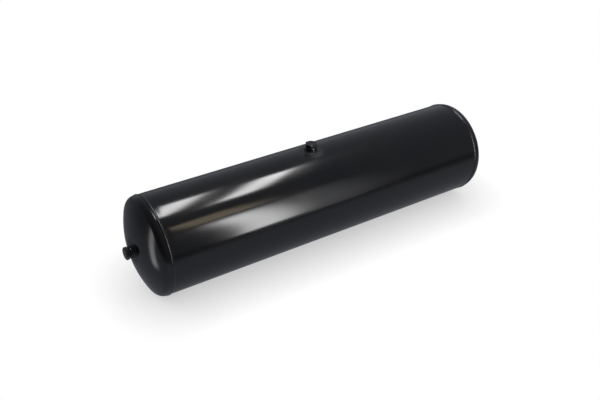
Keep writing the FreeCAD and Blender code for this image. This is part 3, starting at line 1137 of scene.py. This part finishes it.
    def plug(self, finishes: Finishes) -> None:
        """Makes the plug: its shank, washer face and hexagon head with turned corners.

        Args:
            finishes: The materials.
        """
        low, high = self.reach("plug")
        seat = self.reach("seal")[1]
        flat = max(self.span("seal").size) / 2 + self.clearance
        corner = flat * 2 / math.sqrt(3)
        segments = self.plug_segments
        turns = round_turns(segments)
        from_flat = np.mod(turns - math.radians(self.hexagon_turn), math.tau / 6) - math.tau / 12
        edge = flat / np.cos(from_flat)
        face = flat - self.clearance
        drop = (edge - face) / (corner - face) * self.hexagon_drop
        shank = self.thread - self.shank_clearance
        washer_top = seat + self.washer
        washer_edge = flat - self.washer_inset
        rows = [(low, 0.0), (low, shank - self.shank_point), (low + self.shank_point, shank), (seat, shank),
                (seat, washer_edge), (washer_top, washer_edge)]
        fixed = np.array(rows)[None].repeat(segments, axis=0)
        level = np.ones(segments)
        heights = (level * washer_top, high - drop, level * high, level * high)
        reaches = (edge, edge, level * face, level * 0)
        head = np.stack([np.stack(heights, -1), np.stack(reaches, -1)], axis=-1)
        outline = np.concatenate([fixed, head], axis=1)
        rings = self.axis.turned(outline, segments)
        plug = loft(f"{self.name}_hexagon_plug", rings, sharp=20.0)
        bevel(plug, self.plug_rounding, 24.0)
        settle(plug, finishes, PLUG, f"{self.name}_port_plug")

    def build(self, finishes: Finishes, ripples: RippleTree) -> None:
        """Makes every piece of the port.

        Args:
            finishes: The materials.
            ripples: The tree that ripples its welds.
        """
        self.boss(finishes)
        self.weld(finishes, ripples)
        self.seal(finishes)
        self.plug(finishes)


SADDLE_TOE, CROWN_TOE = 4.5 * MM, 3.5 * MM
PLUG_TURNS = {"top": 59.0, "left": 30.0, "right": 70.0}


# ---------------------------------------------------------------- the studio


WARM_GLOW = (1.0, 0.83, 0.6)


@dataclass(frozen=True)
class Softbox:
    """A flat studio light whose glow fades towards its edges.

    Args:
        name: The light's name.
        centre: Where its middle is.
        facing: The direction it shines in.
        size: Its width and length.
        glow: How bright its middle is, where white paper is 1.
        fade: How far the glow takes to fade in from its left, right, bottom and top edge.
        turn: How far it is turned in its own plane, in degrees.
        colour: Its colour.
    """

    name: str
    centre: Vector
    facing: Vector
    size: tuple[float, float]
    glow: float
    fade: tuple[float, float, float, float]
    turn: float = 0.0
    colour: Colour = (1.0, 1.0, 1.0)

    def build(self) -> None:
        """Puts the light in the scene."""
        lamp = bpy.data.lights.new(self.name, "AREA")
        lamp.shape = "RECTANGLE"
        lamp.size, lamp.size_y = self.size
        lamp.energy = self.glow * math.pi * self.size[0] * self.size[1]
        lamp.color = self.colour
        self._soften(lamp)
        made = bpy.data.objects.new(self.name, lamp)
        bpy.context.scene.collection.objects.link(made)
        made.location = self.centre
        facing = self.facing.to_track_quat("-Z", "Y").to_matrix()
        made.rotation_euler = (facing @ Matrix.Rotation(math.radians(self.turn), 3, "Z")).to_euler()

    def _soften(self, lamp: bpy.types.Light) -> None:
        """Fades the light's glow towards its edges.

        Args:
            lamp: The light.
        """
        lamp.use_nodes = True
        nodes, links = lamp.node_tree.nodes, lamp.node_tree.links
        place = nodes.new("ShaderNodeSeparateXYZ")
        links.new(nodes.new("ShaderNodeNewGeometry").outputs["Parametric"], place.inputs[0])
        shares = []
        for side, width in enumerate(self.fade):
            across, far = side // 2, side % 2
            ramp = nodes.new("ShaderNodeMapRange")
            ramp.interpolation_type = "SMOOTHERSTEP"
            reach = width / self.size[across]
            ramp.inputs["From Min"].default_value = 1.0 if far else 0.0
            ramp.inputs["From Max"].default_value = 1.0 - reach if far else reach
            links.new(place.outputs[across], ramp.inputs["Value"])
            shares.append(ramp.outputs["Result"])
        whole = shares[0]
        for share in shares[1:]:
            product = nodes.new("ShaderNodeMath")
            product.operation = "MULTIPLY"
            links.new(whole, product.inputs[0])
            links.new(share, product.inputs[1])
            whole = product.outputs[0]
        links.new(whole, nodes["Emission"].inputs["Strength"])


@dataclass
class Room:
    """The dim room round the tank, brighter behind to the right and down towards the front.

    Args:
        side: How bright the room is level with the tank.
        above: Its least and greatest brightness above that, round the horizon.
        below: Its least and greatest brightness below.
        above_turn: Which way the brightest part above is, in degrees from -Y towards +X.
        below_turn: Which way the brightest part below is.
        horizon: The heights that the part above starts and ends to blend in at, as sines of an elevation.
        skirting: The heights that the part below blends out at, in the same way.
        tint: The room's colour.
    """

    side: float = 0.15
    above: tuple[float, float] = (0.08, 0.38)
    below: tuple[float, float] = (0.13, 0.46)
    above_turn: float = 110.0
    below_turn: float = -10.0
    horizon: tuple[float, float] = (-0.12, 0.05)
    skirting: tuple[float, float] = (-0.36, -0.13)
    tint: Colour = (0.94, 0.98, 1.1)

    def _lobe(self, tree: bpy.types.NodeTree, way: bpy.types.NodeSocket, turn: float,
              glow: tuple[float, float]) -> bpy.types.NodeSocket:
        """A brightness that swells towards one side of the room.

        Args:
            tree: The world's tree.
            way: The direction looked in.
            turn: Which way the swelling is.
            glow: Its least and greatest brightness.

        Returns:
            The brightness.
        """
        dot = tree.nodes.new("ShaderNodeVectorMath")
        dot.operation = "DOT_PRODUCT"
        tree.links.new(way, dot.inputs[0])
        dot.inputs[1].default_value = (math.sin(math.radians(turn)), -math.cos(math.radians(turn)), 0)
        ramp = tree.nodes.new("ShaderNodeMapRange")
        ramp.inputs["From Min"].default_value = -1.0
        ramp.inputs["To Min"].default_value, ramp.inputs["To Max"].default_value = glow
        tree.links.new(dot.outputs["Value"], ramp.inputs["Value"])
        return ramp.outputs["Result"]

    def _blend(self, tree: bpy.types.NodeTree, height: bpy.types.NodeSocket, edges: tuple[float, float],
               low: Given, high: Given) -> bpy.types.NodeSocket:
        """Blends two brightnesses by how high the direction looks.

        Args:
            tree: The world's tree.
            height: The sine of the direction's elevation.
            edges: The heights that the blend starts and ends at.
            low: The brightness at the first.
            high: The brightness at the second.

        Returns:
            The blended brightness.
        """
        ramp = tree.nodes.new("ShaderNodeMapRange")
        ramp.interpolation_type = "SMOOTHSTEP"
        ramp.inputs["From Min"].default_value, ramp.inputs["From Max"].default_value = edges
        for place, value in (("Value", height), ("To Min", low), ("To Max", high)):
            feed(tree.links, value, ramp.inputs[place])
        return ramp.outputs["Result"]

    def build(self) -> None:
        """Sets the room up as the scene's world. The camera itself sees it as white."""
        room = bpy.data.worlds.new("room")
        room.use_nodes = True
        tree = room.node_tree
        way = tree.nodes.new("ShaderNodeTexCoord").outputs["Generated"]
        split = tree.nodes.new("ShaderNodeSeparateXYZ")
        tree.links.new(way, split.inputs[0])
        height = split.outputs["Z"]
        above = self._lobe(tree, way, self.above_turn, self.above)
        below = self._lobe(tree, way, self.below_turn, self.below)
        upper = self._blend(tree, height, self.horizon, self.side, above)
        glow = self._blend(tree, height, self.skirting, below, upper)
        back = tree.nodes["Background"]
        back.inputs["Color"].default_value = (*self.tint, 1.0)
        tree.links.new(glow, back.inputs["Strength"])
        paper = tree.nodes.new("ShaderNodeBackground")
        paper.inputs["Color"].default_value = (1.0, 1.0, 1.0, 1.0)
        seen = tree.nodes.new("ShaderNodeMixShader")
        tree.links.new(tree.nodes.new("ShaderNodeLightPath").outputs["Is Camera Ray"], seen.inputs["Fac"])
        for place, sky in enumerate((back, paper), start=1):
            tree.links.new(sky.outputs[0], seen.inputs[place])
        tree.links.new(seen.outputs[0], tree.nodes["World Output"].inputs["Surface"])
        bpy.context.scene.world = room


@dataclass
class Studio:
    """The floor, the lights and the camera.

    Args:
        middle: The tank's middle.
        azimuth: Which side the camera looks from, in degrees: 0 looks along +Y.
        elevation: How far above level it is.
        distance: How far it is from the tank's middle.
        aim: How far to the right and up of the middle it points.
        lens: Its focal length, in millimetres on its sensor of 36 mm.
        shade: How bright the floor's glow is, as a painted shadow, where the tank hides the room from it, and
            away from the tank.
        shade_reach: How far the tank's painted soft shadow spreads.
        floor_reach: How far the floor runs to each side.
    """

    middle: Vector
    azimuth: float = -34.09
    elevation: float = 30.79
    distance: float = 2.0393
    aim: tuple[float, float] = (-0.03427, -0.0243)
    lens: float = 47.05
    shade: tuple[float, float] = (0.5, 1.0)
    shade_reach: float = 0.12
    floor_reach: float = 20.0

    def camera(self) -> None:
        """Sets the camera up."""
        turn, rise = math.radians(self.azimuth), math.radians(self.elevation)
        back = Vector((math.sin(turn) * math.cos(rise), -math.cos(turn) * math.cos(rise), math.sin(rise)))
        right = Vector((math.cos(turn), math.sin(turn), 0))
        up = back.cross(right)
        lens = bpy.data.cameras.new("camera")
        lens.lens, lens.sensor_width = self.lens, 36.0
        lens.clip_end = 100.0
        made = bpy.data.objects.new("camera", lens)
        bpy.context.scene.collection.objects.link(made)
        made.location = self.middle + back * self.distance
        target = self.middle + right * self.aim[0] + up * self.aim[1]
        made.rotation_euler = (target - made.location).to_track_quat("-Z", "Y").to_euler()
        bpy.context.scene.camera = made

    def floor(self) -> None:
        """Lays the pale floor: a glow that an ambient occlusion mask darkens near the tank, a painted shadow.

        The room's light passes through it, so the tank reflects the room alone.
        """
        mesh = bpy.data.meshes.new("floor")
        sides = ((-1, -1), (1, -1), (1, 1), (-1, 1))
        corners = [(x * self.floor_reach, y * self.floor_reach, 0) for x, y in sides]
        mesh.from_pydata(corners, [], [(0, 1, 2, 3)])
        floor = make_object("floor", mesh)
        pale = bpy.data.materials.new("pale_floor_painted_shadow")
        pale.use_nodes = True
        nodes, links = pale.node_tree.nodes, pale.node_tree.links
        nodes.clear()
        # Painted shadow: ambient occlusion darkens the floor's glow under and beside the tank.
        painted_shadow_ao = nodes.new("ShaderNodeAmbientOcclusion")
        painted_shadow_ao.samples = 16
        painted_shadow_ao.inputs["Distance"].default_value = self.shade_reach
        tone = nodes.new("ShaderNodeMapRange")
        tone.inputs["To Min"].default_value, tone.inputs["To Max"].default_value = self.shade
        paper = nodes.new("ShaderNodeEmission")
        out = nodes.new("ShaderNodeOutputMaterial")
        links.new(painted_shadow_ao.outputs["AO"], tone.inputs["Value"])
        links.new(tone.outputs["Result"], paper.inputs["Strength"])
        links.new(paper.outputs[0], out.inputs["Surface"])
        mesh.materials.append(pale)
        floor.visible_diffuse = floor.visible_glossy = floor.visible_shadow = False

    def lights(self) -> None:
        """Hangs two strips overhead, a tall box in front with its halo, a warm one, and one at the left."""
        down, ahead = Vector((0, 0, -1)), Vector((0, 1, 0))
        strip, ends = (0.31, 1.12), (0.09, 0.09, 0.22, 0.22)
        boxes = [
            Softbox("overhead_right", Vector((0.66, 0.0, 2.04)), down, strip, 17.5, ends, turn=-16.0),
            Softbox("overhead_left", Vector((0.18, 0.275, 2.04)), down, strip, 16.0, ends, turn=-16.0),
            Softbox("front", Vector((0.35, -1.25, 0.68)), ahead, (0.43, 1.34), 12.5,
                    (0.14, 0.28, 0.05, 0.45)),
            Softbox("front_halo", Vector((0.66, -1.27, 0.65)), ahead, (0.9, 1.5), 0.9,
                    (0.3, 0.6, 0.1, 0.4)),
            Softbox("front_warm", Vector((0.44, -1.25, 1.70)), ahead, (0.62, 0.9), 2.4,
                    (0.12, 0.3, 0.15, 0.15), colour=WARM_GLOW),
            Softbox("side", Vector((-2.085, 0.637, -0.42)), Vector((0.956, -0.29, 0.1)), (0.34, 1.5), 2.1,
                    (0.12, 0.12, 0.35, 0.35)),
        ]
        for box in boxes:
            box.build()

    def build(self) -> None:
        """Makes the whole studio."""
        self.floor()
        self.lights()
        Room().build()
        self.camera()
        bpy.context.scene.view_settings.view_transform = "Standard"


def main() -> None:
    """Builds the tank piece by piece, then the studio."""
    logging.basicConfig(level=logging.INFO, format="%(name)s %(message)s")
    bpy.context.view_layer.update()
    finishes, ripples = Finishes(), RippleTree()
    shell = Shell()
    shell.build(finishes)
    shell.weld(finishes, ripples)
    for end in End:
        head = Head(end, shell)
        head.build(finishes)
        head.weld(finishes, ripples)
    radius, crown = shell.radius, Head.crown
    up, along = Vector((0, 0, 1)), Vector((1, 0, 0))
    ports = [Port("top", up, along, 0.0, 1 / radius, SADDLE_TOE, PLUG_TURNS["top"])]
    ports += [Port(end.word, along * end.value, up, 1 / crown, 1 / crown, CROWN_TOE, PLUG_TURNS[end.word])
              for end in End]
    for port in ports:
        port.build(finishes, ripples)
    Studio(shell.span.centre).build()


if __name__ == "__main__":
    main()
